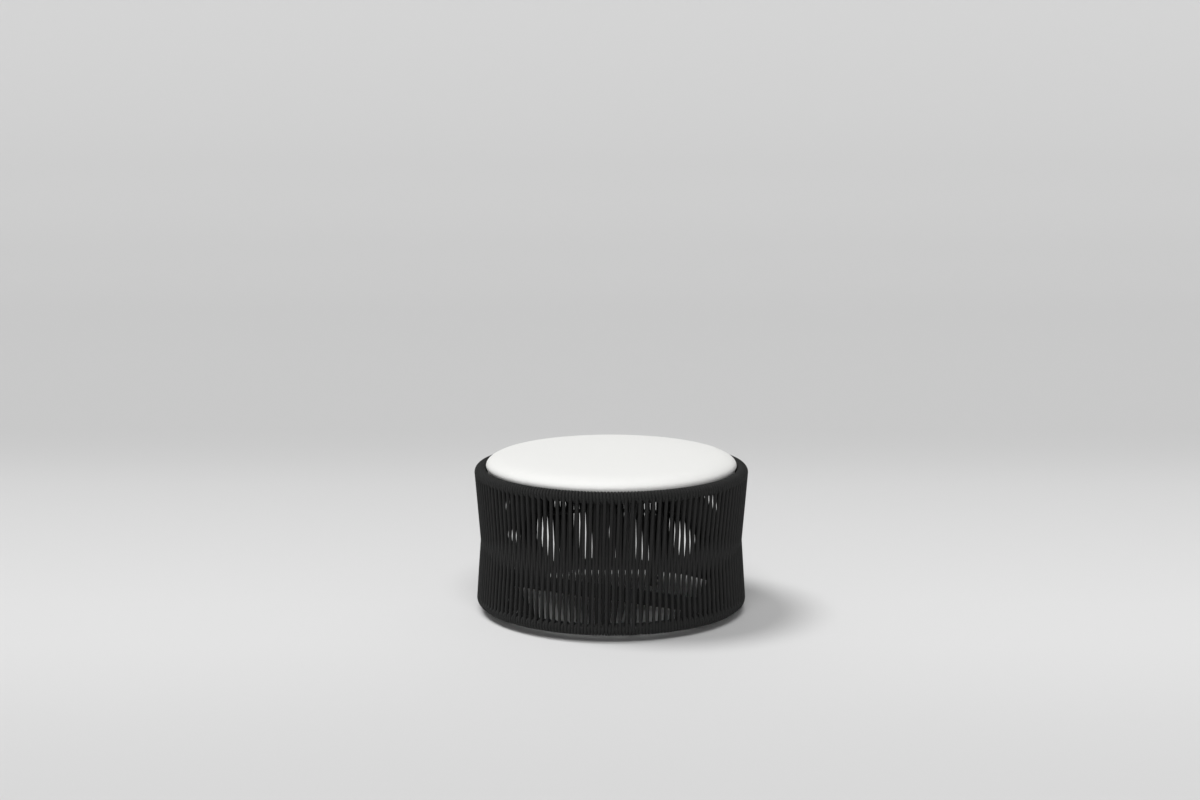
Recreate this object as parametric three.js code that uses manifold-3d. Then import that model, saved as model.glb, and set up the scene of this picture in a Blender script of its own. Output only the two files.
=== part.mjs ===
// Round outdoor ottoman footstool.
//
// An hourglass frame of three hoops (rim, waist, base) joined by five upright
// ribs carries a wall of dark round rope. The rope runs down from the outside
// of the rim hoop to the inside of the base hoop, is wound round that hoop, and
// runs up from its outside to the inside of the rim hoop, 130 times round the
// wall. The two runs cross side by side in front of the waist hoop. Seven slats
// on a seat ring carry a loose crowned cushion that nests inside the rim.
//
// Millimetres, +Z up, origin on the floor under the middle of the stool.
// The front is -Y, the right-hand side is +X.

import * as THREE from 'three';
import * as BufferGeometryUtils from 'three/addons/utils/BufferGeometryUtils.js';
import Module from 'manifold-3d';

// ---------------------------------------------------------------- dimensions
const FOOT_GAP = 18;            // clear height under the rope at the base
const HOOP_TUBE_R = 8;          // rim and base hoops: 16 mm tube
const WAIST_ROD_R = 6;          // waist hoop: 12 mm rod
const ROPE_D = 8.7;             // rope diameter
const WRAP_R = 17.4;            // outside of the rope wrapped round a hoop
const WRAP_IN_R = 8.35;         // inside of the wrapped rope

const RIM_R = 362.6;            // centre-line radius of each hoop
const WAIST_R = 349.5;
const BASE_R = 358.5;
const BASE_Z = FOOT_GAP + 17;   // centre-line height of each hoop
const WAIST_Z = BASE_Z + 164;
const RIM_Z = BASE_Z + 355.5;

const STRANDS = 130;            // rope strands of each run round the wall
const LENGTHS = 10;             // rope lengths that weave the wall
const PER_LENGTH = STRANDS / LENGTHS;
const PITCH = (2 * Math.PI) / STRANDS;
const FIRST = 3;                // first strand of the first rope length
const STRAND_W = 7.0;           // side of the squared strand, across
const STRAND_T = 7.0;           // side of the squared strand, radially
// Both runs at the base hoop and the rim hoop: radius, and place round the
// wall in pitches from the front. Between them the rope is straight, and it
// leans on the waist hoop from outside.
const DOWN_RUN = [[BASE_R - 12.6, -0.30], [RIM_R + 12.4, 0.12]];
const UP_RUN = [[BASE_R + 12.4, 0.25], [RIM_R - 12.4, 0.50]];
const RIM_EDGE = -0.185;        // where one rope length ends and the next begins
const BASE_EDGE = -0.533;
const RIB_PHASE = 0.10;         // ribs stand clear of the inner runs

const RIB_T = 5;                // ribs and cross-bar are 5 mm plate
const RIBS = 5;
const CLEAR = 0.3;              // gap kept between pieces that touch

const SEAT_RING_R = [315, 340.5];
const SEAT_RING_Z = [RIM_Z - 20.5, RIM_Z - 15.5];
const SLAT_W = 40;
const SLAT_T = 4;
const SLAT_STEP = 90;
const SLATS = 7;
const SLAT_REACH = 337;         // radius that the slat ends stay inside

const BAR_Z = [BASE_Z - 16, BASE_Z + 25];
const BAR_GAP = 22.20;          // strand gap that the cross-bar's end enters

const GLIDE_R = 268;            // glide centres from the middle
const GLIDE_D = 26;
const FOOT_PLATE = 30;
const FOOT_PLATE_T = 5;

const ZIP_Y = 210;              // zip across the underside, towards the back
const ZIP_HALF = 200;
const ZIP_W = 10;

const GRID = 40;                // facets round a hoop

// ------------------------------------------------------------------- solids
const wasm = await Module();
wasm.setup();

// Merge shared corners and turn the faces outwards.
function closed(geometry) {
  const g = geometry.clone();
  for (const name of Object.keys(g.attributes)) if (name !== 'position') g.deleteAttribute(name);
  const m = BufferGeometryUtils.mergeVertices(g, 1e-4);
  const p = m.attributes.position.array;
  const src = m.index.array;
  const tri = [];
  let vol = 0;
  for (let i = 0; i < src.length; i += 3) {
    const [a, b, c] = [src[i], src[i + 1], src[i + 2]];
    if (a === b || b === c || c === a) continue;
    tri.push(a, b, c);
    const [ax, ay, az] = [p[3 * a], p[3 * a + 1], p[3 * a + 2]];
    const [bx, by, bz] = [p[3 * b], p[3 * b + 1], p[3 * b + 2]];
    const [cx, cy, cz] = [p[3 * c], p[3 * c + 1], p[3 * c + 2]];
    vol += ax * (by * cz - bz * cy) - ay * (bx * cz - bz * cx) + az * (bx * cy - by * cx);
  }
  if (vol < 0) for (let i = 0; i < tri.length; i += 3) [tri[i + 1], tri[i + 2]] = [tri[i + 2], tri[i + 1]];
  m.setIndex(tri);
  return m;
}

function toSolid(geometry) {
  const m = closed(geometry);
  return new wasm.Manifold(new wasm.Mesh({
    numProp: 3,
    vertProperties: new Float32Array(m.attributes.position.array),
    triVerts: new Uint32Array(m.index.array),
  }));
}

function toGeometry(solid) {
  const mesh = solid.getMesh();
  const g = new THREE.BufferGeometry();
  const n = mesh.numProp;
  const count = mesh.vertProperties.length / n;
  const pos = new Float32Array(count * 3);
  for (let i = 0; i < count; i++) for (let k = 0; k < 3; k++) pos[3 * i + k] = mesh.vertProperties[n * i + k];
  g.setAttribute('position', new THREE.BufferAttribute(pos, 3));
  g.setIndex(Array.from(mesh.triVerts));
  return g;
}

// Direction at angle t, measured at the front (-Y) and growing towards +X.
const dir = (t) => [Math.sin(t), -Math.cos(t)];

// Polygon of n sides round (cx, cy) as a closed ring of Vector2.
function polygon(cx, cy, r, n, turn = 0) {
  const pts = [];
  for (let i = 0; i < n; i++) {
    const a = turn + (i * 2 * Math.PI) / n;
    pts.push(new THREE.Vector2(cx + r * Math.cos(a), cy + r * Math.sin(a)));
  }
  return pts;
}

// Full ring: a closed (radius, height) section turned about the Z axis. The
// first facet edge lies at angle t0 from the front.
function ring(section, segments, t0 = 0) {
  const pts = section.concat([section[0].clone()]);
  const g = new THREE.LatheGeometry(pts, segments);
  const p = g.attributes.position;
  for (let i = 0; i < p.count; i++) {
    const x = p.getX(i), y = p.getY(i), z = p.getZ(i);
    const a = Math.atan2(x, z) + t0;      // lathe angle, zero along its own +Z
    const r = Math.hypot(x, z);
    const d = dir(a);
    p.setXYZ(i, r * d[0], r * d[1], y);
  }
  return closed(g);
}

// Turned solid whose profile starts and ends on the axis.
function turned(profile, segments) {
  const g = new THREE.LatheGeometry(profile.map((q) => new THREE.Vector2(q[0], q[1])), segments);
  g.rotateX(Math.PI / 2);
  return closed(g);
}

// Part of a ring between the angles in the list: a (radius, height) shape is
// extruded with one step for each angle and bent round the Z axis.
function sector(shape, angles) {
  const steps = angles.length - 1;
  const g = new THREE.ExtrudeGeometry(shape, { depth: steps, steps, bevelEnabled: false });
  const p = g.attributes.position;
  for (let i = 0; i < p.count; i++) {
    const r = p.getX(i), z = p.getY(i), k = Math.round(p.getZ(i));
    const d = dir(angles[k]);
    p.setXYZ(i, r * d[0], r * d[1], z);
  }
  return closed(g);
}

// Upright plate: a (radius, height) outline of thickness w in the radial plane
// at angle t. Radii may run through the axis to the far side.
function radialPlate(outline, w, t) {
  const shape = new THREE.Shape(outline.map((q) => new THREE.Vector2(q[0], q[1])));
  const g = new THREE.ExtrudeGeometry(shape, { depth: w, steps: 1, bevelEnabled: false });
  const p = g.attributes.position;
  const d = dir(t);
  for (let i = 0; i < p.count; i++) {
    const r = p.getX(i), z = p.getY(i), s = p.getZ(i) - w / 2;
    p.setXYZ(i, r * d[0] - s * d[1], r * d[1] + s * d[0], z);
  }
  return closed(g);
}

// Box with its middle at radius r and angle t, turned to face outwards.
function radialBox(r, t, long, wide, z0, z1) {
  const g = new THREE.BoxGeometry(long, wide, z1 - z0);
  g.translate(0, 0, (z0 + z1) / 2);
  const p = g.attributes.position;
  const d = dir(t);
  for (let i = 0; i < p.count; i++) {
    const a = r + p.getX(i), s = p.getY(i);
    p.setXYZ(i, a * d[0] - s * d[1], a * d[1] + s * d[0], p.getZ(i));
  }
  return closed(g);
}

// ---------------------------------------------------------------- materials
const paint = () => new THREE.MeshStandardMaterial({ color: 0x2a2b2c, roughness: 0.5, metalness: 0.35 });
const ropeMat = () => new THREE.MeshStandardMaterial({ color: 0x232424, roughness: 0.85, metalness: 0 });
const plastic = () => new THREE.MeshStandardMaterial({ color: 0x1a1a1a, roughness: 0.6, metalness: 0 });
const cloth = () => new THREE.MeshStandardMaterial({ color: 0xf1f1ee, roughness: 0.9, metalness: 0 });
const foam = () => new THREE.MeshStandardMaterial({ color: 0xe8e2c8, roughness: 1, metalness: 0 });
const tapeMat = () => new THREE.MeshStandardMaterial({ color: 0xdededa, roughness: 0.8, metalness: 0 });

const stool = new THREE.Group();
const frame = new THREE.Group();
const wall = new THREE.Group();
const seat = new THREE.Group();
stool.add(frame, wall, seat);

function add(group, name, geometry, material) {
  const mesh = new THREE.Mesh(geometry, material);
  mesh.name = name;
  group.add(mesh);
  return mesh;
}

// ------------------------------------------------------- ribs' own positions
// Ribs stand in the gaps between neighbouring strands of the inner runs.
const edgeAngle = (k, edge) => (FIRST + edge + k * PER_LENGTH) * PITCH;
const ribAngle = (n) => (FIRST + RIB_PHASE + 2 * PER_LENGTH * n) * PITCH;
const T0 = ribAngle(0);

// ------------------------------------------------------------------- hoops
const half = Math.PI / 8;
add(frame, 'rim_hoop', ring(polygon(RIM_R, RIM_Z, HOOP_TUBE_R, 8, half), GRID, T0), paint());
add(frame, 'waist_hoop', ring(polygon(WAIST_R, WAIST_Z, WAIST_ROD_R, 8, half), GRID, T0), paint());
add(frame, 'base_hoop', ring(polygon(BASE_R, BASE_Z, HOOP_TUBE_R, 8, half), GRID, T0), paint());

// -------------------------------------------------------------------- ribs
// Each rib follows the hourglass just inside the rope: it stands on the base
// hoop, touches the waist hoop, ends under the rim hoop, and has a shelf for
// the seat ring at the top and an arm for the glide at the foot.
const ribOutline = [
  [366, RIM_Z - HOOP_TUBE_R - CLEAR],
  [362, 374],
  [345, 352],
  [WAIST_R - WAIST_ROD_R - CLEAR, WAIST_Z + 14],
  [WAIST_R - WAIST_ROD_R - CLEAR, WAIST_Z - 14],
  [343, 62],
  [356, 50],
  [364.5, BASE_Z + HOOP_TUBE_R + CLEAR],
  [346, BASE_Z + HOOP_TUBE_R + CLEAR],
  [339.5, BASE_Z + 6],
  [339.5, BASE_Z - 10.7],
  [252, BASE_Z - 10.7],
  [252, BASE_Z + 3],
  [262, BASE_Z + 13],
  [312, BASE_Z + 15],
  [328, BASE_Z + 34],
  [329, 110],
  [323, WAIST_Z - 12],
  [323, WAIST_Z + 12],
  [327, 300],
  [333, 345],
  [318, 362],
  [318, SEAT_RING_Z[0] - CLEAR],
  [344, SEAT_RING_Z[0] - CLEAR],
  [344, RIM_Z - 17],
  [347, RIM_Z - HOOP_TUBE_R - CLEAR],
];
for (let n = 0; n < RIBS; n++) add(frame, `rib_${n + 1}`, radialPlate(ribOutline, RIB_T, ribAngle(n)), paint());

// ---------------------------------------------------------------- cross-bar
// A flat bar on edge across the base, from back left to front right. A tongue
// at each end enters a strand gap and meets the base hoop.
const barAngle = (BAR_GAP) * PITCH;
const tongue = BASE_R - HOOP_TUBE_R - CLEAR;
const barOutline = [
  [340, BAR_Z[0]], [340, BASE_Z - 6], [tongue, BASE_Z - 3], [tongue, BASE_Z + 3], [340, BASE_Z + 6], [340, BAR_Z[1]],
  [-340, BAR_Z[1]], [-340, BASE_Z + 6], [-tongue, BASE_Z + 3], [-tongue, BASE_Z - 3], [-340, BASE_Z - 6], [-340, BAR_Z[0]],
];
add(frame, 'base_crossbar', radialPlate(barOutline, RIB_T, barAngle), paint());

// ------------------------------------------------------- seat ring and slats
add(frame, 'seat_ring', ring([
  new THREE.Vector2(SEAT_RING_R[0], SEAT_RING_Z[0]), new THREE.Vector2(SEAT_RING_R[1], SEAT_RING_Z[0]),
  new THREE.Vector2(SEAT_RING_R[1], SEAT_RING_Z[1]), new THREE.Vector2(SEAT_RING_R[0], SEAT_RING_Z[1]),
], GRID, T0), paint());

const slatZ = SEAT_RING_Z[1] + CLEAR;
for (let i = 0; i < SLATS; i++) {
  const off = (i - (SLATS - 1) / 2) * SLAT_STEP;
  const y0 = off - SLAT_W / 2, y1 = off + SLAT_W / 2;
  const e0 = Math.sqrt(SLAT_REACH ** 2 - y0 ** 2), e1 = Math.sqrt(SLAT_REACH ** 2 - y1 ** 2);
  const shape = new THREE.Shape([
    new THREE.Vector2(-e0, y0), new THREE.Vector2(e0, y0), new THREE.Vector2(e1, y1), new THREE.Vector2(-e1, y1),
  ]);
  const g = new THREE.ExtrudeGeometry(shape, { depth: SLAT_T, bevelEnabled: false });
  const slat = add(frame, `slat_${i + 1}`, closed(g), paint());
  slat.position.z = slatZ;
}

// ---------------------------------------------------------- feet and glides
const plateZ0 = BASE_Z - 11 - FOOT_PLATE_T;
for (let n = 0; n < RIBS; n++) {
  const t = ribAngle(n);
  const d = dir(t);
  const hole = new THREE.CylinderGeometry(4.3, 4.3, 20, 10);
  hole.rotateX(Math.PI / 2);
  hole.translate(GLIDE_R * d[0], GLIDE_R * d[1], plateZ0);
  const plate = toSolid(radialBox(GLIDE_R, t, FOOT_PLATE, FOOT_PLATE, plateZ0, plateZ0 + FOOT_PLATE_T)).subtract(toSolid(hole));
  add(frame, `foot_plate_${n + 1}`, toGeometry(plate), paint());

  const gz = plateZ0 - CLEAR;
  const glide = turned([
    [0, 0], [GLIDE_D / 2 - 1.5, 0], [GLIDE_D / 2, 1.5], [GLIDE_D / 2, 8], [9.5, gz], [4, gz], [4, gz + 4.4], [0, gz + 4.4],
  ], 14);
  const m = add(frame, `glide_${n + 1}`, glide, plastic());
  m.position.set(GLIDE_R * d[0], GLIDE_R * d[1], 0);
}

// --------------------------------------------------------------- rope wall
// Each rope length is one piece: the turns round the rim hoop and the base
// hoop, and thirteen strands of each of the two runs between them.
function strand(i, run) {
  const g = new THREE.BoxGeometry(STRAND_T, STRAND_W, 2);
  const p = g.attributes.position;
  const Z = [BASE_Z + 3, RIM_Z - 3];
  for (let k = 0; k < p.count; k++) {
    const j = p.getZ(k) < 0 ? 0 : 1;
    const d = dir((i + run[j][1]) * PITCH);
    const a = run[j][0] + p.getX(k), s = p.getY(k);
    p.setXYZ(k, a * d[0] - s * d[1], a * d[1] + s * d[0], Z[j]);
  }
  return toSolid(g);
}

const step = (2 * Math.PI) / GRID;
function wrap(R, Z, k, edge) {
  const a0 = edgeAngle(k, edge), a1 = edgeAngle(k + 1, edge);
  const angles = [a0 + 0.15 / 345, a0 + step, a0 + 2 * step, a0 + 3 * step, a1 - 0.15 / 345];
  const outer = new THREE.Shape(polygon(R, Z, WRAP_R / Math.cos(half), 8, half));
  outer.holes.push(new THREE.Path(polygon(R, Z, WRAP_IN_R / Math.cos(half), 8, half)));
  return toSolid(sector(outer, angles));
}

for (let k = 0; k < LENGTHS; k++) {
  const from = edgeAngle(k, -0.6), to = edgeAngle(k + 1, -0.6);
  let body = wrap(RIM_R, RIM_Z, k, RIM_EDGE).add(wrap(BASE_R, BASE_Z, k, BASE_EDGE));
  // The turns part where the cross-bar's tongue and the ribs reach the hoops.
  for (const end of [barAngle, barAngle + Math.PI]) {
    if (end > from && end < to) {
      body = body.subtract(toSolid(radialBox(346, end, 24, RIB_T + 0.8, BASE_Z - 24, BASE_Z + 24)));
    }
  }
  for (let n = 0; n < RIBS; n++) {
    const rib = ribAngle(n);
    if (rib < from || rib > to) continue;
    body = body.subtract(toSolid(radialBox(357, rib, 32, RIB_T + 0.8, RIM_Z - 24, RIM_Z - 4)));
    body = body.subtract(toSolid(radialBox(352, rib, 32, RIB_T + 0.8, BASE_Z + 4, BASE_Z + 24)));
  }
  for (let j = 0; j < PER_LENGTH; j++) {
    const i = FIRST + k * PER_LENGTH + j;
    body = body.add(strand(i, DOWN_RUN)).add(strand(i, UP_RUN));
  }
  add(wall, `rope_length_${k + 1}`, toGeometry(body), ropeMat());
}

// ----------------------------------------------------------------- cushion
const cushionProfile = [
  [0, slatZ + SLAT_T + CLEAR], [318, slatZ + SLAT_T + CLEAR], [335, RIM_Z - 6.5], [341.6, RIM_Z], [343.9, RIM_Z + 7.5],
  [348.4, RIM_Z + 14.5], [347.2, RIM_Z + 22.5], [341, RIM_Z + 31], [326, RIM_Z + 39], [290, RIM_Z + 46.5],
  [220, RIM_Z + 52.3], [120, RIM_Z + 55.8], [0, RIM_Z + 57],
];
// The same profile moved inwards by d, and its flat underside by b.
function inset(profile, d, b) {
  return profile.map((q, i) => {
    const u = profile[Math.max(i - 1, 0)], v = profile[Math.min(i + 1, profile.length - 1)];
    const tx = v[0] - u[0], ty = v[1] - u[1], l = Math.hypot(tx, ty);
    const r = i === 0 || i === profile.length - 1 ? 0 : q[0] - (d * ty) / l;
    const z = i <= 1 ? q[1] + b : q[1] + (d * tx) / l;
    return [Math.max(r, 0), z];
  });
}
const under = cushionProfile[0][1];
const outerSkin = toSolid(turned(cushionProfile, 32));
const hollow = toSolid(turned(inset(cushionProfile, 2.5, 4.5), 32));
const slotBox = new THREE.BoxGeometry(2 * ZIP_HALF, ZIP_W, 7);
slotBox.translate(0, ZIP_Y, under + 1.5);
const cover = outerSkin.subtract(hollow).subtract(toSolid(slotBox));
add(seat, 'cushion_cover', toGeometry(cover), cloth());
add(seat, 'cushion_foam', turned(inset(cushionProfile, 3.0, 5.2), 32), foam());

const tape = new THREE.BoxGeometry(2 * ZIP_HALF - 1, ZIP_W - 0.8, 0.9);
tape.translate(0, ZIP_Y, under + 3.6);
add(seat, 'zip_tape', closed(tape), tapeMat());

const sliderShape = new THREE.Shape([
  new THREE.Vector2(-7, -4.2), new THREE.Vector2(5, -4.2), new THREE.Vector2(7, -2), new THREE.Vector2(7, 2),
  new THREE.Vector2(5, 4.2), new THREE.Vector2(-7, 4.2),
]);
const slider = add(seat, 'zip_slider', closed(new THREE.ExtrudeGeometry(sliderShape, { depth: 2.2, bevelEnabled: false })),
  new THREE.MeshStandardMaterial({ color: 0xb8b8b8, roughness: 0.35, metalness: 0.9 }));
slider.position.set(-ZIP_HALF + 9, ZIP_Y, under + 0.5);

export default stool;
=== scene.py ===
import math
import random

import bmesh
import bpy
import numpy as np
from mathutils import Euler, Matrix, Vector


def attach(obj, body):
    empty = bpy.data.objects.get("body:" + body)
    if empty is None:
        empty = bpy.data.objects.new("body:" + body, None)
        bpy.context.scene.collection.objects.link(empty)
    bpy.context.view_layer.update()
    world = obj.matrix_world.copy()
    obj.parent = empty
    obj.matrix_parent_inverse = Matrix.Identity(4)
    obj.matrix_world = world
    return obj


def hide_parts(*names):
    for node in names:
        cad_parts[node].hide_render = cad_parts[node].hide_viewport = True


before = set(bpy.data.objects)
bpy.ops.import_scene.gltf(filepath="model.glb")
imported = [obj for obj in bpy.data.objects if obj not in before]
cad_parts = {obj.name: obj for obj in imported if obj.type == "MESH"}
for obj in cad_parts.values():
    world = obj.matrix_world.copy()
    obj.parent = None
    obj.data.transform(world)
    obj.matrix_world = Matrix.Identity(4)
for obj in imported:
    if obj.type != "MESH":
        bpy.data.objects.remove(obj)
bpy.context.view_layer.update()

random.seed(7)
rng = np.random.default_rng(7)

# ------------------------------------------------------------------ dimensions
# Metres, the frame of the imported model. The front is -Y.
FOOT_GAP = 0.018
RIM_R, WAIST_R, BASE_R = 0.3626, 0.3495, 0.3585
BASE_Z = FOOT_GAP + 0.017
WAIST_Z = BASE_Z + 0.164
RIM_Z = BASE_Z + 0.3555
WAIST_ROD_R = 0.0060
ROPE_R = 0.00425
RHO = 0.0128           # rope centre line round the tube of the rim and base hoops
STRANDS = 130
LENGTHS = 10
PER = 13
PITCH = 2 * math.pi / STRANDS
FIRST = 3
# Places of the two runs of rope round the wall, in pitches from the front: the
# down run goes from the outside of the rim hoop to the inside of the base hoop,
# the up run from the outside of the base hoop to the inside of the rim hoop.
DOWN_RIM, DOWN_WAIST, DOWN_BASE = 0.12, -0.16, -0.30
UP_BASE, UP_WAIST, UP_RIM = 0.27, 0.37, 0.59
RIB_PHASE = 0.10
RIB_T = 0.005
SLAT_Z = RIM_Z - 0.0155 + 0.0003
SLAT_T = 0.004
UNDER = SLAT_Z + SLAT_T + 0.0003
ZIP_Y = 0.210
BAR_GAP = 22.20
LEAD = ((-20, 0, 15, 30, 45, 60, 75, 90, 105, 118, 142, 168, 190, 212, 235, 260, 285, 300, 315, 330, 345, 360, 380),
        (-0.133, -0.033, 0.044, 0.115, 0.172, 0.21, 0.21, 0.225, 0.23, 0.16, 0.035, 0.14, 0.335, 0.228, 0.057, -0.205, -0.255, -0.268, -0.235, -0.18, -0.11, -0.033, 0.068))

# ---------------------------------------------------------------------- camera
cam_data = bpy.data.cameras.new("photo_camera")
cam = bpy.data.objects.new("photo_camera", cam_data)
bpy.context.scene.collection.objects.link(cam)
cam_data.sensor_width = 36.0
cam_data.lens = 62.455
cam_data.clip_end = 100.0
cam.location = (-0.00865, -5.67454, 1.51201 + BASE_Z)
cam.rotation_euler = (math.radians(90 - 9.5872), 0.0, math.radians(0.2289))
bpy.context.scene.camera = cam


# ------------------------------------------------------------------ mesh tools
def link(obj):
    bpy.context.scene.collection.objects.link(obj)
    return obj


def mesh_object(name, verts, faces, uv=None, smooth=True, mat=None):
    """A mesh object from arrays: verts (n, 3), quads (m, 4), uv (m, 4, 2)."""
    me = bpy.data.meshes.new(name)
    verts = np.asarray(verts, dtype=np.float32)
    faces = np.asarray(faces, dtype=np.int32)
    m, k = faces.shape
    me.vertices.add(len(verts))
    me.vertices.foreach_set("co", verts.ravel())
    me.loops.add(m * k)
    me.loops.foreach_set("vertex_index", faces.ravel())
    me.polygons.add(m)
    me.polygons.foreach_set("loop_start", np.arange(0, m * k, k, dtype=np.int32))
    me.polygons.foreach_set("loop_total", np.full(m, k, dtype=np.int32))
    me.update(calc_edges=True)
    if uv is not None:
        layer = me.uv_layers.new(name="UVMap")
        layer.data.foreach_set("uv", np.asarray(uv, dtype=np.float32).ravel())
    me.validate()
    if smooth:
        me.polygons.foreach_set("use_smooth", np.ones(len(me.polygons), dtype=bool))
    obj = bpy.data.objects.new(name, me)
    if mat is not None:
        me.materials.append(mat)
    return link(obj)


class Builder:
    """Collects quads of several tubes and shells into one mesh."""

    def __init__(self):
        self.v, self.f, self.uv, self.n = [], [], [], 0

    def grid(self, pts, u, v, close_u=True):
        """pts (rows, cols, 3); columns run round the section. u, v are (rows, cols+1)."""
        rows, cols, _ = pts.shape
        idx = np.arange(rows * cols).reshape(rows, cols) + self.n
        nxt = np.roll(idx, -1, axis=1)
        if not close_u:
            idx_a, idx_b = idx[:, :-1], idx[:, 1:]
        else:
            idx_a, idx_b = idx, nxt
        f = np.stack([idx_a[:-1], idx_b[:-1], idx_b[1:], idx_a[1:]], axis=-1).reshape(-1, 4)
        k = idx_a.shape[1]
        uv = np.stack([
            np.stack([u[:-1, :k], v[:-1, :k]], -1), np.stack([u[:-1, 1:k + 1], v[:-1, 1:k + 1]], -1),
            np.stack([u[1:, 1:k + 1], v[1:, 1:k + 1]], -1), np.stack([u[1:, :k], v[1:, :k]], -1)], axis=2)
        self.v.append(pts.reshape(-1, 3))
        self.f.append(f)
        self.uv.append(uv.reshape(-1, 4, 2))
        self.n += rows * cols
        return idx

    def tube(self, path, ref, radius, sides, v0=0.0, u0=0.0, cap=True, scale=None):
        """Round rope along path (n, 3). ref (n, 3) points to the side where u is 0."""
        path = np.asarray(path, float)
        t = np.gradient(path, axis=0)
        t /= np.linalg.norm(t, axis=1, keepdims=True)
        b = np.cross(t, ref)
        b /= np.linalg.norm(b, axis=1, keepdims=True)
        n = np.cross(b, t)
        seg = np.linalg.norm(np.diff(path, axis=0), axis=1)
        s = np.concatenate([[0.0], np.cumsum(seg)])
        rad = np.full(len(path), radius) if np.isscalar(radius) else np.asarray(radius)
        if cap:   # a rounded end of three small rings
            rows_p, rows_r, rows_s, rows_n, rows_b = [], [], [], [], []
            for k, q in ((0, -1), (len(path) - 1, 1)):
                ends = []
                for a in (80, 50, 22):
                    ang = math.radians(a)
                    ends.append((path[k] + q * t[k] * rad[k] * math.sin(ang) * 0.6, rad[k] * math.cos(ang), s[k] + q * rad[k] * math.sin(ang) * 0.6))
                if q == 1:
                    ends = ends[::-1]
                rows_p.append(np.array([e[0] for e in ends])); rows_r.append(np.array([e[1] for e in ends]))
                rows_s.append(np.array([e[2] for e in ends])); rows_n.append(np.repeat(n[k:k + 1], 3, 0)); rows_b.append(np.repeat(b[k:k + 1], 3, 0))
            path = np.concatenate([rows_p[0], path, rows_p[1]])
            rad = np.concatenate([rows_r[0], rad, rows_r[1]])
            s = np.concatenate([rows_s[0], s, rows_s[1]])
            n = np.concatenate([rows_n[0], n, rows_n[1]])
            b = np.concatenate([rows_b[0], b, rows_b[1]])
        a = np.arange(sides) * 2 * math.pi / sides
        pts = (path[:, None, :] + rad[:, None, None] * (np.cos(a)[None, :, None] * n[:, None, :] + np.sin(a)[None, :, None] * b[:, None, :]))
        u = np.tile(np.arange(sides + 1) / sides + u0, (len(path), 1))
        v = np.tile((s / (2 * math.pi * ROPE_R) + v0)[:, None], (1, sides + 1))
        idx = self.grid(pts, u, v)
        if cap:
            for row, q in ((0, 1), (len(path) - 1, -1)):
                ring = idx[row]
                half = sides // 2
                for j in range(half - 1):
                    quad = [ring[j], ring[j + 1], ring[sides - 2 - j], ring[sides - 1 - j]]
                    if q == 1:
                        quad = quad[::-1]
                    self.f.append(np.array([quad]))
                    self.uv.append(np.array([[[u[row, 0], v[row, 0]]] * 4]))
        return s[-1]

    def make(self, name, mat):
        return mesh_object(name, np.concatenate(self.v), np.concatenate(self.f), np.concatenate(self.uv), True, mat)


def dir_at(t):
    """Outward direction at angle t from the front, growing towards +X."""
    return np.stack([np.sin(t), -np.cos(t), np.zeros_like(t)], -1)


def even(index):
    """Hand spacing: the strands run up to a third of a pitch ahead of or behind
    their even places, taken up slowly round the wall."""
    deg = (index / STRANDS * 360.0) % 360.0
    acc = 0.0
    for o in (-8.0, -4.0, 0.0, 4.0, 8.0):
        acc = acc + np.interp(deg + o, *LEAD)
    return index + acc / 5.0


def revolve(profile, segments, close=False, turn=0.0):
    """Quads of a (radius, height) profile turned about Z. Returns verts, faces, uv."""
    prof = np.asarray(profile, float)
    a = np.arange(segments) * 2 * math.pi / segments + turn
    d = dir_at(a)
    pts = d[:, None, :] * prof[None, :, 0, None] + np.array([0, 0, 1.0])[None, None, :] * prof[None, :, 1, None]
    n = len(prof)
    idx = np.arange(segments * n).reshape(segments, n)
    nxt = np.roll(idx, -1, axis=0)
    if close:
        a0, a1, b0, b1 = idx, np.roll(idx, -1, axis=1), nxt, np.roll(nxt, -1, axis=1)
    else:
        a0, a1, b0, b1 = idx[:, :-1], idx[:, 1:], nxt[:, :-1], nxt[:, 1:]
    f = np.stack([a0, b0, b1, a1], -1).reshape(-1, 4)
    s = np.concatenate([[0], np.cumsum(np.hypot(*np.diff(np.vstack([prof, prof[:1]]), axis=0).T))])
    k = n if close else n - 1
    ang = np.arange(segments + 1) / segments
    U0 = np.repeat(ang[:-1, None], k, 1) * 2 * math.pi * 0.36
    U1 = np.repeat(ang[1:, None], k, 1) * 2 * math.pi * 0.36
    V0 = np.repeat(s[None, :k], segments, 0)
    V1 = np.repeat(s[None, 1:k + 1], segments, 0)
    uv = np.stack([np.stack([U0, V0], -1), np.stack([U1, V0], -1), np.stack([U1, V1], -1), np.stack([U0, V1], -1)], 2)
    return pts.reshape(-1, 3), f, uv.reshape(-1, 4, 2)


def clean_normals(obj):
    bm = bmesh.new()
    bm.from_mesh(obj.data)
    bmesh.ops.recalc_face_normals(bm, faces=bm.faces)
    bm.to_mesh(obj.data)
    bm.free()
    obj.data.update()


def modifier(obj, kind, name, **settings):
    m = obj.modifiers.new(name, kind)
    for k, v in settings.items():
        setattr(m, k, v)
    return m


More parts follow.
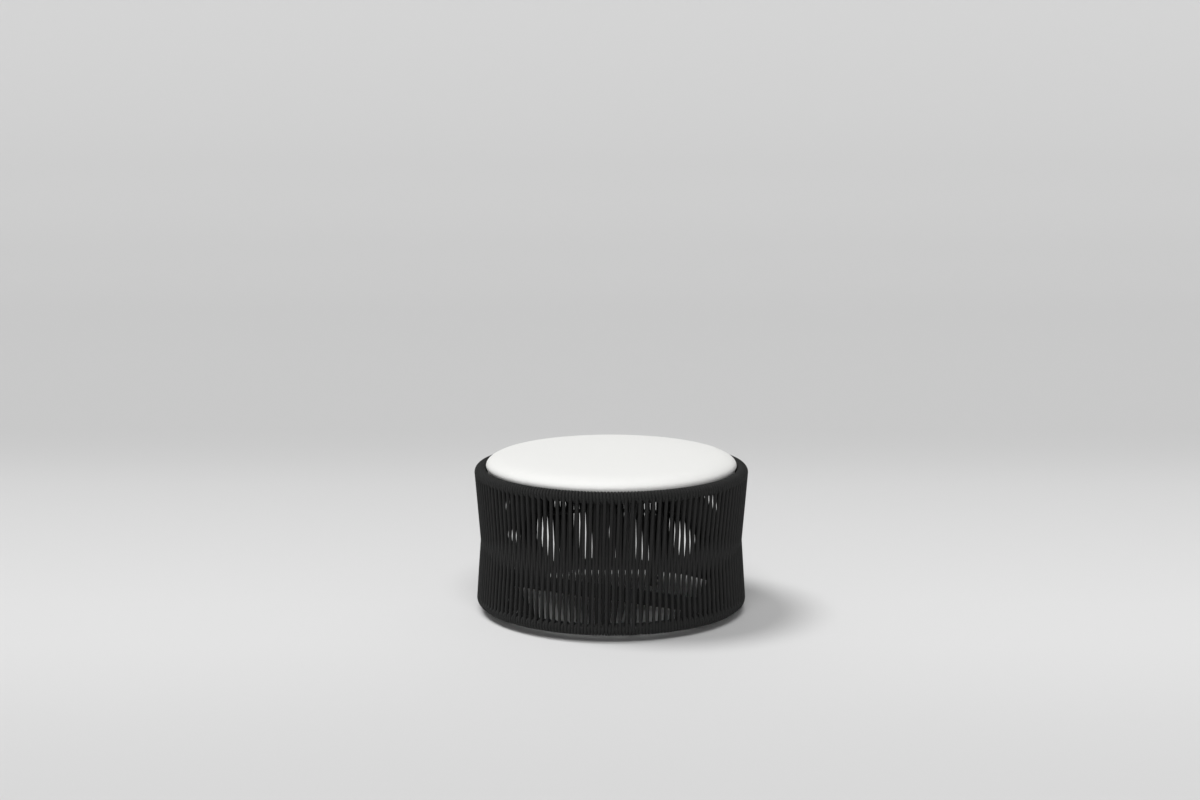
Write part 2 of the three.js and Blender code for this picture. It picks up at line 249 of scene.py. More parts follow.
# ------------------------------------------------------------------- materials
class Nodes:
    """Short spelling for a node tree."""

    def __init__(self, name):
        self.mat = bpy.data.materials.new(name)
        self.mat.use_nodes = True
        self.t = self.mat.node_tree
        self.t.nodes.clear()
        self.out = self.add("ShaderNodeOutputMaterial")
        self.bsdf = self.add("ShaderNodeBsdfPrincipled")
        self.t.links.new(self.bsdf.outputs[0], self.out.inputs["Surface"])

    def add(self, kind, **props):
        n = self.t.nodes.new(kind)
        for k, v in props.items():
            setattr(n, k, v)
        return n

    def put(self, socket, value):
        if hasattr(value, "is_output") or isinstance(value, bpy.types.NodeSocket):
            self.t.links.new(value, socket)
        else:
            socket.default_value = value

    def math(self, op, a, b=None, c=None, clamp=False):
        n = self.add("ShaderNodeMath", operation=op, use_clamp=clamp)
        self.put(n.inputs[0], a)
        if b is not None:
            self.put(n.inputs[1], b)
        if c is not None:
            self.put(n.inputs[2], c)
        return n.outputs[0]

    def mix(self, f, a, b):
        n = self.add("ShaderNodeMix", data_type="FLOAT")
        self.put(n.inputs[0], f)
        self.put(n.inputs[2], a)
        self.put(n.inputs[3], b)
        return n.outputs[0]

    def mix_rgb(self, f, a, b, blend="MIX"):
        n = self.add("ShaderNodeMix", data_type="RGBA", blend_type=blend)
        self.put(n.inputs[0], f)
        self.put(n.inputs[6], a)
        self.put(n.inputs[7], b)
        return n.outputs[2]

    def xyz(self, x=0.0, y=0.0, z=0.0):
        n = self.add("ShaderNodeCombineXYZ")
        self.put(n.inputs[0], x)
        self.put(n.inputs[1], y)
        self.put(n.inputs[2], z)
        return n.outputs[0]

    def split(self, vec):
        n = self.add("ShaderNodeSeparateXYZ")
        self.put(n.inputs[0], vec)
        return n.outputs

    def coord(self, what="Object"):
        return self.add("ShaderNodeTexCoord").outputs[what]

    def noise(self, vec, scale, detail=3.0, rough=0.5, distortion=0.0):
        n = self.add("ShaderNodeTexNoise")
        self.put(n.inputs["Vector"], vec)
        n.inputs["Scale"].default_value = scale
        n.inputs["Detail"].default_value = detail
        n.inputs["Roughness"].default_value = rough
        n.inputs["Distortion"].default_value = distortion
        return n.outputs[0]

    def ramp(self, f, stops):
        n = self.add("ShaderNodeValToRGB")
        self.put(n.inputs[0], f)
        e = n.color_ramp.elements
        while len(e) < len(stops):
            e.new(0.5)
        for i, (p, c) in enumerate(stops):
            e[i].position = p
            e[i].color = (*c, 1.0) if len(c) == 3 else c
        return n.outputs[0]

    def bump(self, height, strength, distance, normal=None):
        n = self.add("ShaderNodeBump")
        n.inputs["Strength"].default_value = strength
        n.inputs["Distance"].default_value = distance
        self.put(n.inputs["Height"], height)
        if normal is not None:
            self.put(n.inputs["Normal"], normal)
        return n.outputs[0]


def rope_material():
    """Round braided rope: sixteen carriers cross in a diamond braid, with painted shade: the colour goes near black
    down in the crevices between the carriers.
    """
    n = Nodes("rope_braid")
    uv = n.split(n.coord("UV"))
    u, v = uv[0], uv[1]
    carriers, lay = 8.0, 1.75
    vv = n.math("DIVIDE", v, lay)
    a = n.math("MULTIPLY", n.math("ADD", u, vv), carriers)
    b = n.math("MULTIPLY", n.math("SUBTRACT", u, vv), carriers)
    fa, fb = n.math("FLOOR", a), n.math("FLOOR", b)
    ra, rb = n.math("SUBTRACT", a, fa), n.math("SUBTRACT", b, fb)
    parity = n.math("FLOORED_MODULO", n.math("ADD", fa, fb), 2.0)
    sa = n.math("SINE", n.math("MULTIPLY", ra, math.pi))
    sb = n.math("SINE", n.math("MULTIPLY", rb, math.pi))
    ha = n.math("MULTIPLY", n.math("POWER", sa, 0.55), n.math("MULTIPLY_ADD", sb, 0.42, 0.58))
    hb = n.math("MULTIPLY", n.math("POWER", sb, 0.55), n.math("MULTIPLY_ADD", sa, 0.42, 0.58))
    braid = n.mix(parity, ha, hb)
    # filaments run along each carrier
    fil_a = n.noise(n.xyz(n.math("MULTIPLY", a, 9.0), n.math("MULTIPLY", b, 0.8), 0.0), 1.0, 2.0, 0.6)
    fil_b = n.noise(n.xyz(n.math("MULTIPLY", b, 9.0), n.math("MULTIPLY", a, 0.8), 7.0), 1.0, 2.0, 0.6)
    fil = n.mix(parity, fil_a, fil_b)
    obj = n.coord("Object")
    wide = n.noise(obj, 9.0, 3.0, 0.55)
    fuzz = n.noise(obj, 2600.0, 2.0, 0.7)
    # Painted shade: the colour follows the braid's height, near black in the crevices between the carriers and lighter
    # on their crowns; the filament noise adds random tone.
    crevice_shade_tone = n.math("ADD", n.math("MULTIPLY", braid, 0.55), n.math("MULTIPLY", fil, 0.45))
    col = n.ramp(crevice_shade_tone, [(0.20, (0.0006, 0.0007, 0.0008)), (0.45, (0.0033, 0.0035, 0.0035)), (0.63, (0.0145, 0.0147, 0.0145)), (0.81, (0.056, 0.0562, 0.0555))])
    worn = n.mix_rgb(n.math("MULTIPLY", wide, 0.20), col, (0.020, 0.0199, 0.0195, 1.0))
    n.put(n.bsdf.inputs["Base Color"], worn)
    n.put(n.bsdf.inputs["Roughness"], n.math("MULTIPLY_ADD", fil, -0.22, 0.80))
    n.bsdf.inputs["Specular IOR Level"].default_value = 0.17
    n.bsdf.inputs["Sheen Weight"].default_value = 0.025
    n.bsdf.inputs["Sheen Roughness"].default_value = 0.5
    height = n.math("ADD", braid, n.math("MULTIPLY", fil, 0.28))
    b1 = n.bump(height, 1.0, 0.0008)
    b2 = n.bump(fuzz, 0.20, 0.00008, b1)
    n.put(n.bsdf.inputs["Normal"], b2)
    return n.mat


def paint_material():
    """Charcoal powder coat with its fine texture, rubbed a little at the edges."""
    n = Nodes("frame_powder_coat")
    obj = n.coord("Object")
    peel = n.noise(obj, 1500.0, 2.0, 0.6)
    big = n.noise(obj, 14.0, 4.0, 0.6)
    point = n.add("ShaderNodeNewGeometry").outputs["Pointiness"]
    edge = n.math("MULTIPLY", n.math("SUBTRACT", point, 0.53, clamp=True), 5.0, clamp=True)
    rub = n.math("MULTIPLY", edge, big, clamp=True)
    base = n.ramp(n.math("ADD", n.math("MULTIPLY", peel, 0.5), n.math("MULTIPLY", big, 0.5)),
                  [(0.3, (0.0125, 0.0128, 0.0135)), (0.7, (0.0205, 0.0209, 0.0218))])
    col = n.mix_rgb(rub, base, (0.06, 0.06, 0.062, 1.0))
    n.put(n.bsdf.inputs["Base Color"], col)
    n.put(n.bsdf.inputs["Roughness"], n.math("MULTIPLY_ADD", peel, 0.22, 0.38))
    n.bsdf.inputs["Specular IOR Level"].default_value = 0.5
    n.put(n.bsdf.inputs["Normal"], n.bump(peel, 0.35, 0.00012))
    return n.mat


def plastic_material():
    """Moulded black plastic with a fine spark-eroded grain and scuffs underneath."""
    n = Nodes("glide_plastic")
    obj = n.coord("Object")
    grain = n.noise(obj, 2400.0, 2.0, 0.6)
    scuff = n.noise(obj, 190.0, 4.0, 0.7, 1.5)
    z = n.split(obj)[2]
    low = n.math("SUBTRACT", 1.0, n.math("DIVIDE", z, 0.004), clamp=True)
    mask = n.math("MULTIPLY", low, n.math("SUBTRACT", n.math("MULTIPLY", scuff, 2.2), 0.8, clamp=True), clamp=True)
    base = n.ramp(grain, [(0.3, (0.0075, 0.0075, 0.0078)), (0.7, (0.0125, 0.0125, 0.013))])
    n.put(n.bsdf.inputs["Base Color"], n.mix_rgb(mask, base, (0.07, 0.068, 0.064, 1.0)))
    n.put(n.bsdf.inputs["Roughness"], n.math("MULTIPLY_ADD", scuff, 0.3, 0.35))
    n.put(n.bsdf.inputs["Normal"], n.bump(grain, 0.4, 0.00008))
    return n.mat


def fabric_material(name="cushion_fabric", light=(0.856, 0.856, 0.841), dark=(0.70, 0.70, 0.68), pitch=0.00072):
    """Fine plain weave. Warp runs along Y and weft along X on the panels, and round
    and up on the border, so it needs no UV map."""
    n = Nodes(name)
    obj = n.coord("Object")
    x, y, z = n.split(obj)
    normal = n.split(n.coord("Normal"))
    side = n.math("SUBTRACT", 1.0, n.math("MULTIPLY", n.math("ABSOLUTE", normal[2]), 1.9), clamp=True)
    side = n.math("GREATER_THAN", side, 0.02)
    ang = n.math("MULTIPLY", n.math("ARCTAN2", x, y), 0.346)
    p = n.mix(side, x, ang)
    q = n.mix(side, y, z)
    wob = n.noise(obj, 60.0, 2.0, 0.5)
    wob2 = n.noise(obj, 38.0, 2.0, 0.5)
    a = n.math("DIVIDE", n.math("MULTIPLY_ADD", wob, 0.0006, p), pitch)
    b = n.math("DIVIDE", n.math("MULTIPLY_ADD", wob2, 0.0006, q), pitch)
    fa, fb = n.math("FLOOR", a), n.math("FLOOR", b)
    ra, rb = n.math("SUBTRACT", a, fa), n.math("SUBTRACT", b, fb)
    parity = n.math("FLOORED_MODULO", n.math("ADD", fa, fb), 2.0)
    sa = n.math("SINE", n.math("MULTIPLY", ra, math.pi))
    sb = n.math("SINE", n.math("MULTIPLY", rb, math.pi))
    ha = n.math("MULTIPLY", n.math("POWER", sa, 0.6), n.math("MULTIPLY_ADD", sb, 0.5, 0.5))
    hb = n.math("MULTIPLY", n.math("POWER", sb, 0.6), n.math("MULTIPLY_ADD", sa, 0.5, 0.5))
    weave = n.mix(parity, ha, hb)
    yarn_a = n.noise(n.xyz(fa, n.math("MULTIPLY", b, 0.06), 0.0), 1.7, 1.0, 0.5)
    yarn_b = n.noise(n.xyz(fb, n.math("MULTIPLY", a, 0.06), 5.0), 1.7, 1.0, 0.5)
    yarn = n.mix(parity, yarn_a, yarn_b)
    cloud = n.noise(obj, 7.0, 4.0, 0.55)
    fibre = n.noise(obj, 5200.0, 2.0, 0.7)
    # Painted shade: the low points of the weave between the yarns are coloured darker; the yarn and fibre noise is the
    # yarns' own random tone.
    crevice_shade_tone = n.math("ADD", n.math("MULTIPLY", weave, 0.50), n.math("ADD", n.math("MULTIPLY", yarn, 0.36), n.math("MULTIPLY", fibre, 0.14)))
    col = n.ramp(crevice_shade_tone, [(0.10, dark), (0.55, tuple(0.5 * (l + d) + 0.04 for l, d in zip(light, dark))), (0.85, light)])
    col = n.mix_rgb(n.math("MULTIPLY", cloud, 0.10), col, (0.82, 0.82, 0.80, 1.0))
    n.put(n.bsdf.inputs["Base Color"], col)
    n.put(n.bsdf.inputs["Roughness"], n.math("MULTIPLY_ADD", yarn, -0.12, 0.92))
    n.bsdf.inputs["Specular IOR Level"].default_value = 0.25
    n.bsdf.inputs["Sheen Weight"].default_value = 0.10
    n.bsdf.inputs["Sheen Roughness"].default_value = 0.4
    b1 = n.bump(n.math("ADD", weave, n.math("MULTIPLY", yarn, 0.5)), 0.55, 0.00022)
    b2 = n.bump(cloud, 0.25, 0.004, b1)
    n.put(n.bsdf.inputs["Normal"], b2)
    return n.mat


def foam_material():
    """Open-cell foam, with painted shade: each cell is coloured darker towards its middle, down in the pore."""
    n = Nodes("cushion_foam_cells")
    obj = n.coord("Object")
    vor = n.add("ShaderNodeTexVoronoi")
    n.put(vor.inputs["Vector"], obj)
    vor.inputs["Scale"].default_value = 900.0
    d = vor.outputs["Distance"]
    cloud = n.noise(obj, 20.0, 3.0, 0.5)
    # Painted shade: the colour goes dark in the middle of each Voronoi cell, where the pore sinks in.
    col = n.ramp(d, [(0.0, (0.30, 0.26, 0.15)), (0.35, (0.62, 0.57, 0.40)), (0.8, (0.74, 0.70, 0.54))])
    n.put(n.bsdf.inputs["Base Color"], n.mix_rgb(n.math("MULTIPLY", cloud, 0.3), col, (0.66, 0.60, 0.42, 1.0)))
    n.put(n.bsdf.inputs["Roughness"], n.math("MULTIPLY_ADD", cloud, 0.1, 0.88))
    n.put(n.bsdf.inputs["Normal"], n.bump(d, 0.7, 0.0006))
    return n.mat


def metal_material():
    """Satin zinc of the zip slider, with fine tumbling scratches."""
    n = Nodes("zip_metal")
    obj = n.coord("Object")
    s = n.noise(obj, 1800.0, 3.0, 0.6, 2.0)
    n.put(n.bsdf.inputs["Base Color"], n.ramp(s, [(0.3, (0.42, 0.42, 0.43)), (0.7, (0.62, 0.62, 0.63))]))
    n.bsdf.inputs["Metallic"].default_value = 1.0
    n.put(n.bsdf.inputs["Roughness"], n.math("MULTIPLY_ADD", s, 0.25, 0.22))
    n.put(n.bsdf.inputs["Normal"], n.bump(s, 0.15, 0.00005))
    return n.mat


ROPE = rope_material()
PAINT = paint_material()
PLASTIC = plastic_material()
FABRIC = fabric_material()
TAPE = fabric_material("zip_tape_weave", (0.66, 0.66, 0.63), (0.42, 0.42, 0.40), 0.0006)
FOAM = foam_material()
METAL = metal_material()


def coil_material():
    """Off-white nylon monofilament."""
    n = Nodes("zip_coil_nylon")
    obj = n.coord("Object")
    s = n.noise(obj, 1500.0, 2.0, 0.5)
    n.put(n.bsdf.inputs["Base Color"], n.ramp(s, [(0.3, (0.62, 0.62, 0.60)), (0.7, (0.74, 0.74, 0.71))]))
    n.put(n.bsdf.inputs["Roughness"], n.math("MULTIPLY_ADD", s, 0.2, 0.28))
    return n.mat


PLASTIC_WHITE = coil_material()

# -------------------------------------------------------------------- rope wall
def rib_index(nr):
    return FIRST + RIB_PHASE + 26 * nr


RIBS = [rib_index(n) for n in range(5)]
BARS = [BAR_GAP, BAR_GAP + 65]
CLEAR = RIB_T / 2 + ROPE_R + 0.0001     # rope centre line to the middle of a plate


def smooth(x):
    x = np.clip(x, 0.0, 1.0)
    return x * x * (3 - 2 * x)


def wrapped(d):
    return (d + STRANDS / 2) % STRANDS - STRANDS / 2


def pushed(index, anchor, fade, r, plates):
    """Moves rope sideways so that it clears the plates that reach a hoop. anchor
    tells on which side of a plate a strand passes and its turn in the row, two to
    a pitch; the next strands in the row make way too."""
    out = index.copy()
    for g in plates:
        a = wrapped(anchor - g)
        side = np.where(a >= 0, 1.0, -1.0)
        a = a * side
        x = wrapped(index - g) * side
        first = np.mod(a, 0.5)
        short = np.maximum(CLEAR / (r * PITCH) - (first + x - a), 0.0)
        out = out + side * short * np.maximum(1 - (a - first) / 4.2, 0.0) * fade
    return out


def turn_180(beta):
    return (beta + 180.0) % 360.0 - 180.0


def rim_fade(beta):
    """Where turns round the rim hoop meet a rib: underneath, and up to the inside."""
    b = turn_180(beta)
    under = smooth((-8.0 - b) / 40.0)
    inside = np.where(b > 0, smooth((b - 115.0) / 60.0), 1.0)
    return np.where(b > 0, inside, under)


def base_fade(beta):
    """Where turns round the base hoop meet a rib: on top, and down the inside."""
    b = turn_180(beta)
    top = smooth((b - 8.0) / 34.0)
    inside = smooth((-110.0 - b) / 62.0)
    return np.where(b >= 0, top, inside)


def tongue_fade(beta):
    """Where turns round the base hoop meet the cross-bar's tongues: inside."""
    off = np.abs(turn_180(beta - 180.0))
    return smooth((34.0 + 50.0 - off) / 50.0)


def at_hoop(R, Z, rho, beta_deg, index):
    b = np.radians(beta_deg)
    d = dir_at(index * PITCH)
    n = d * np.cos(b)[:, None] + np.array([0, 0, 1.0]) * np.sin(b)[:, None]
    return d * R + np.array([0, 0, Z]) + n * rho[:, None], n


# Angle round each hoop's section and place round the wall, in pitches.
RIM_TURN = np.array([(184.0, 0.59), (130.0, 0.583), (90.0, 0.568), (40.0, 0.563), (0.0, 0.620), (-20.0, 0.655), (-75.0, 0.850), (-130.0, 1.060),
                     (-180.0, 1.09), (-230.0, 1.083), (-270.0, 1.068), (-320.0, 1.063), (-360.0, 1.12), (-366.0, 1.129)])
BASE_TURN = np.array([(174.0, -0.300), (230.0, -0.285), (280.0, -0.245), (310.0, -0.231), (360.0, -0.230), (380.0, -0.228), (410.0, -0.170),
                      (450.0, 0.020), (490.0, 0.160), (540.0, 0.200), (590.0, 0.215), (640.0, 0.255), (670.0, 0.269), (726.0, 0.270)])
# The plates that the turns meet, and the places that decide each turn's side.
RIM_MET = (rim_fade, RIBS, (0, 0.30, 0.34, 1), (0.59, 0.60, 1.0, 1.0))
BASE_MET = [(base_fade, RIBS, (0, 0.2, 0.3, 1), (-0.52, -0.52, -0.02, -0.02)), (tongue_fade, BARS, (0, 0.2, 0.3, 1), (-0.35, -0.35, 0.15, 0.15))]
STEPS = 26      # steps for each turn of rope round a hoop
SIDES = 12

# Section angles at which the runs leave and meet the hoops.
WAIST_RUN = WAIST_R + WAIST_ROD_R + ROPE_R + 0.0001
TOP_D = -math.degrees(math.asin((RIM_R + RHO - WAIST_RUN) / (RIM_Z - WAIST_Z)))
LOW_D = 180.0 - math.degrees(math.asin((WAIST_RUN - BASE_R + RHO) / (WAIST_Z - BASE_Z)))
LOW_U = math.degrees(math.asin((BASE_R + RHO - WAIST_RUN) / (WAIST_Z - BASE_Z)))
TOP_U = 180.0 + math.degrees(math.asin((WAIST_RUN - RIM_R + RHO) / (RIM_Z - WAIST_Z)))


def curve(table, beta):
    """The table's value at beta, rounded a little at its corners."""
    s = 1.0 if table[-1, 0] > table[0, 0] else -1.0
    acc = 0.0
    for o in (-9.0, -4.5, 0.0, 4.5, 9.0):
        acc = acc + np.interp(s * (beta + o), s * table[:, 0], table[:, 1])
    return acc / 5.0


def run(q0, q1, i0, i1, steps, bow, lean, skew=0.0):
    """Straight piece of rope between two (radius, height) points."""
    t = np.linspace(0, 1, steps + 2)[1:-1]
    lean = lean + skew * (1 - t)
    r = q0[0] + (q1[0] - q0[0]) * t + bow * np.sin(math.pi * t)
    z = q0[1] + (q1[1] - q0[1]) * t
    return r, z, i0 + (i1 - i0) * t + lean * np.sin(math.pi * t)


def rope_path(k, local):
    """The whole of one rope length: turns round the rim hoop, down run, turns
    round the base hoop, up run, thirteen times."""
    P, N = [], []

    def turns(R, Z, table, b0, b1, offset, jit0, jit1, met, sgn):
        steps = int(abs(b1 - b0) / 360.0 * STEPS)
        beta = np.linspace(b0, b1, steps + 1)
        t = (beta - b0) / (b1 - b0)
        idx = offset + curve(table, beta) + jit0 * (1 - t) + jit1 * t + local.normal(0, 0.006) * np.sin(math.pi * t)
        idx = even(idx)
        for fade, plates, at, anchors in met:
            anchor = even(np.full_like(t, offset + 0.0)) + np.interp(t, at, anchors)
            idx = pushed(idx, anchor, fade(beta), R, plates)
        rho = RHO + np.interp(t, np.linspace(0, 1, 7), local.normal(0, 0.00007, 7))
        p, n = at_hoop(R, Z, rho, beta, idx)
        P.append(p); N.append(sgn * n)
        return idx[0], idx[-1]

    def wall(q0, q1, i0, i1, steps, bow, lean, sgn, skew=0.0):
        r, z, idx = run(q0, q1, i0, i1, steps, bow, lean, skew)
        idx = even(idx)
        i1 = float(even(np.array([i1]))[0])
        # strands next to a plate stand off it near the hoop that they lie inside
        if sgn > 0:
            near = smooth((BASE_Z + 0.058 - z) / 0.044)
            idx = pushed(idx, np.full_like(idx, i1 - 0.22), near, r, RIBS)
            idx = pushed(idx, np.full_like(idx, i1 - 0.05), near, r, BARS)
        else:
            near = smooth((z - RIM_Z + 0.062) / 0.046)
            idx = pushed(idx, np.full_like(idx, i1), near, r, RIBS)
        d = dir_at(idx * PITCH)
        P.append(d * r[:, None] + np.array([0, 0, 1.0]) * z[:, None])
        N.append(sgn * d)

    def tangent(R, Z, beta):
        b = math.radians(beta)
        return (R + RHO * math.cos(b), Z + RHO * math.sin(b))

    last = 0.0
    for j in range(PER):
        i = FIRST + PER * k + j
        jd, jw, jb = local.normal(0, 0.010), local.normal(0, 0.009), local.normal(0, 0.009)
        ju, jv, jr = local.normal(0, 0.010), local.normal(0, 0.009), local.normal(0, 0.008)
        if j == PER - 1:
            jr = 0.0
        b_in = TOP_U if j else 172.0
        turns(RIM_R, RIM_Z, RIM_TURN, b_in, TOP_D - 360.0, i - 1, last, jd, [RIM_MET], 1.0)
        dw, uw = i + DOWN_WAIST + jw, i + UP_WAIST + jv
        top, low = tangent(RIM_R, RIM_Z, TOP_D), tangent(BASE_R, BASE_Z, LOW_D)
        mid = (WAIST_RUN, WAIST_Z)
        wall(top, mid, i + curve(RIM_TURN, np.array([TOP_D - 360.0]))[0] - 1 + jd, dw, 24, local.normal(0, 0.0002), local.normal(0, 0.010), 2.0)
        wall(mid, low, dw, i + DOWN_BASE + jb, 22, local.normal(0, 0.0002), local.normal(0, 0.010), 1.0)
        turns(BASE_R, BASE_Z, BASE_TURN, LOW_D, LOW_U + 720.0, i, jb, ju, BASE_MET, -1.0)
        out, inn = tangent(BASE_R, BASE_Z, LOW_U), tangent(RIM_R, RIM_Z, TOP_U)
        wall(out, mid, i + UP_BASE + ju, uw, 22, local.normal(0, 0.0002), local.normal(0, 0.010), -2.0)
        wall(mid, inn, uw, i + UP_RIM + jr, 24, local.normal(0, 0.0002), local.normal(0, 0.010), -1.0, -0.067)
        last = jr
    # the cut end, butted against the next length inside the rim
    turns(RIM_R, RIM_Z, RIM_TURN, TOP_U, 179.0, FIRST + PER * (k + 1) - 1, 0.0, 0.0, [(rim_fade, RIBS, (0, 1), (0.59, 0.59))], 1.0)
    return np.concatenate(P), np.concatenate(N)


for k in range(LENGTHS):
    b = Builder()
    local = np.random.default_rng(300 + k)
    path, ref = rope_path(k, local)
    b.tube(path, ref, ROPE_R, SIDES, v0=local.random() * 7, u0=0.0)
    rope = b.make(f"rope_length_{k + 1}_woven", ROPE)
    clean_normals(rope)
    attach(rope, "frame")
    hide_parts(f"rope_length_{k + 1}")

# ------------------------------------------------------------------- the frame
def hoop(name, R, Z, r, node):
    a = np.arange(20) * 2 * math.pi / 20
    prof = np.stack([R + r * np.cos(a), Z + r * np.sin(a)], 1)
    v, f, uv = revolve(prof, 240, close=True)
    o = mesh_object(name, v, f, uv, True, PAINT)
    clean_normals(o)
    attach(o, "frame")
    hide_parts(node)
    return o


hoop("rim_hoop_tube", RIM_R, RIM_Z, 0.0084, "rim_hoop")
hoop("waist_hoop_rod", WAIST_R, WAIST_Z, 0.0059, "waist_hoop")
hoop("base_hoop_tube", BASE_R, BASE_Z, 0.0084, "base_hoop")

# The seat ring: a flat ring with eased edges.
z0, z1 = RIM_Z - 0.0205, RIM_Z - 0.0155
e = 0.0008
ring_prof = [(0.315 + e, z0), (0.3405 - e, z0), (0.3405, z0 + e), (0.3405, z1 - e), (0.3405 - e, z1), (0.315 + e, z1), (0.315, z1 - e), (0.315, z0 + e)]
v, f, uv = revolve(ring_prof, 240, close=True)
seat_ring = mesh_object("seat_ring_plate", v, f, uv, False, PAINT)
clean_normals(seat_ring)
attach(seat_ring, "frame")
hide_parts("seat_ring")

for name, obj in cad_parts.items():
    if name.startswith(("rib_", "slat_", "foot_plate_", "base_crossbar")):
        obj.data.materials.clear()
        obj.data.materials.append(PAINT)
        modifier(obj, "BEVEL", "eased_edges", width=0.0006, segments=2, limit_method="ANGLE", angle_limit=math.radians(40))

# Glides: a domed pad with a moulded collar and a ribbed stem.
rib_angles = [g * PITCH for g in RIBS]
for n, t in enumerate(rib_angles):
    gz = BASE_Z - 0.016 - 0.0003
    prof = [(0.0, 0.0), (0.0095, 0.0), (0.0112, 0.0003), (0.0124, 0.0011), (0.0130, 0.0026), (0.0130, 0.0070), (0.0127, 0.0082), (0.0118, 0.0091),
            (0.0104, 0.0098), (0.0098, 0.0108), (0.0096, 0.0150), (0.0096, gz - 0.0012), (0.0093, gz - 0.0003), (0.0086, gz),
            (0.0040, gz), (0.0039, gz + 0.0012), (0.0041, gz + 0.0016), (0.0038, gz + 0.0022), (0.0041, gz + 0.0028), (0.0037, gz + 0.0036), (0.0028, gz + 0.0044), (0.0, gz + 0.0044)]
    v, f, uv = revolve(prof[1:-1], 48)
    o = mesh_object(f"glide_{n + 1}_pad", v, f, uv, True, PLASTIC)
    bm = bmesh.new()
    bm.from_mesh(o.data)
    bmesh.ops.holes_fill(bm, edges=[e2 for e2 in bm.edges if e2.is_boundary])
    bmesh.ops.recalc_face_normals(bm, faces=bm.faces)
    d = dir_at(np.array([t]))[0]
    bmesh.ops.translate(bm, verts=bm.verts, vec=(0.268 * d[0], 0.268 * d[1], 0.0))
    bm.to_mesh(o.data)
    bm.free()
    for p in o.data.polygons:
        p.use_smooth = True
    modifier(o, "EDGE_SPLIT", "sharp_edges", split_angle=math.radians(50))
    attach(o, "frame")
    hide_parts(f"glide_{n + 1}")

# ---------------------------------------------------------------------- welds
SMALL_R = 0.0016


def bead(builder, p0, p1, seed, r=SMALL_R):
    """A short weld bead between two points, rippled along its length."""
    local = np.random.default_rng(seed)
    p0, p1 = np.array(p0, float), np.array(p1, float)
    length = np.linalg.norm(p1 - p0)
    n = max(int(length / 0.0006), 12)
    t = np.linspace(0, 1, n)
    path = p0 + (p1 - p0) * t[:, None] + local.normal(0, 0.00008, (n, 3))
    ripple = r * (1 + 0.10 * np.sin(t * length / 0.0018 * 2 * math.pi)) * (0.55 + 0.45 * np.minimum(1, np.minimum(t, 1 - t) * length / 0.003))
    ref = np.tile([0.0, 0.0, 1.0], (n, 1))
    builder.tube(path, ref, ripple, 8)


welds = Builder()
ring_z = RIM_Z - 0.0205
for q, g in enumerate(RIBS):
    ang = g * PITCH
    d = np.array([math.sin(ang), -math.cos(ang), 0.0])
    side = np.array([-d[1], d[0], 0.0])
    for w in (-1, 1):
        off = side * w * (RIB_T / 2 + 0.0007)
        for r0, r1, z in ((0.320, 0.338, ring_z - 0.0008), (0.2555, 0.2805, BASE_Z - 0.0100)):
            bead(welds, d * r0 + off + np.array([0, 0, z]), d * r1 + off + np.array([0, 0, z]), 900 + 10 * q + w)
for i in range(7):      # slats on the seat ring
    for e in (-1, 1):
        y = (i - 3) * 0.090 + e * 0.0207
        x0, x1 = math.sqrt(0.3165 ** 2 - y ** 2), math.sqrt(0.3345 ** 2 - y ** 2)
        for sx in (-1, 1):
            bead(welds, (sx * x0, y, ring_z + 0.0056), (sx * min(x1, x0 + 0.022), y, ring_z + 0.0056), 700 + 4 * i + e + sx, 0.0013)
weld_obj = welds.make("weld_beads", PAINT)
clean_normals(weld_obj)
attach(weld_obj, "frame")

# ------------------------------------------------------------------ the cushion
CROWN = 0.0555


def smooth_profile(pts, per=10):
    """Catmull-Rom curve through the points."""
    pts = np.asarray(pts, float)
    ext = np.vstack([2 * pts[0] - pts[1], pts, 2 * pts[-1] - pts[-2]])
    out = []
    for i in range(1, len(ext) - 2):
        p0, p1, p2, p3 = ext[i - 1], ext[i], ext[i + 1], ext[i + 2]
        t = np.linspace(0, 1, per, endpoint=False)[:, None]
        out.append(0.5 * ((2 * p1) + (-p0 + p2) * t + (2 * p0 - 5 * p1 + 4 * p2 - p3) * t ** 2 + (-p0 + 3 * p1 - 3 * p2 + p3) * t ** 3))
    out.append(pts[-1:])
    return np.vstack(out)


cushion_pts = [
    (0.0, UNDER), (0.20, UNDER), (0.312, UNDER + 0.0002), (0.328, UNDER + 0.0022), (0.3375, UNDER + 0.0068), (0.3414, RIM_Z + 0.0010), (0.3446, RIM_Z + 0.0070),
    (0.3484, RIM_Z + 0.0125), (0.3493, RIM_Z + 0.0175), (0.3478, RIM_Z + 0.0237), (0.3420, RIM_Z + 0.0312), (0.3280, RIM_Z + 0.0386), (0.2915, RIM_Z + 0.0456),
    (0.220, RIM_Z + 0.0511), (0.120, RIM_Z + 0.0544), (0.05, RIM_Z + 0.0553), (0.0, RIM_Z + CROWN),
]
SKIN = smooth_profile(cushion_pts, 8)
SKIN[:, 1] = np.maximum(SKIN[:, 1], UNDER)


def inward(profile, d):
    """The profile moved inwards by d."""
    t = np.gradient(profile, axis=0)
    t /= np.linalg.norm(t, axis=1, keepdims=True)
    out = profile + d * np.stack([-t[:, 1], t[:, 0]], 1)
    out[0, 0] = out[-1, 0] = 0.0
    out[:, 0] = np.maximum(out[:, 0], 0)
    return out


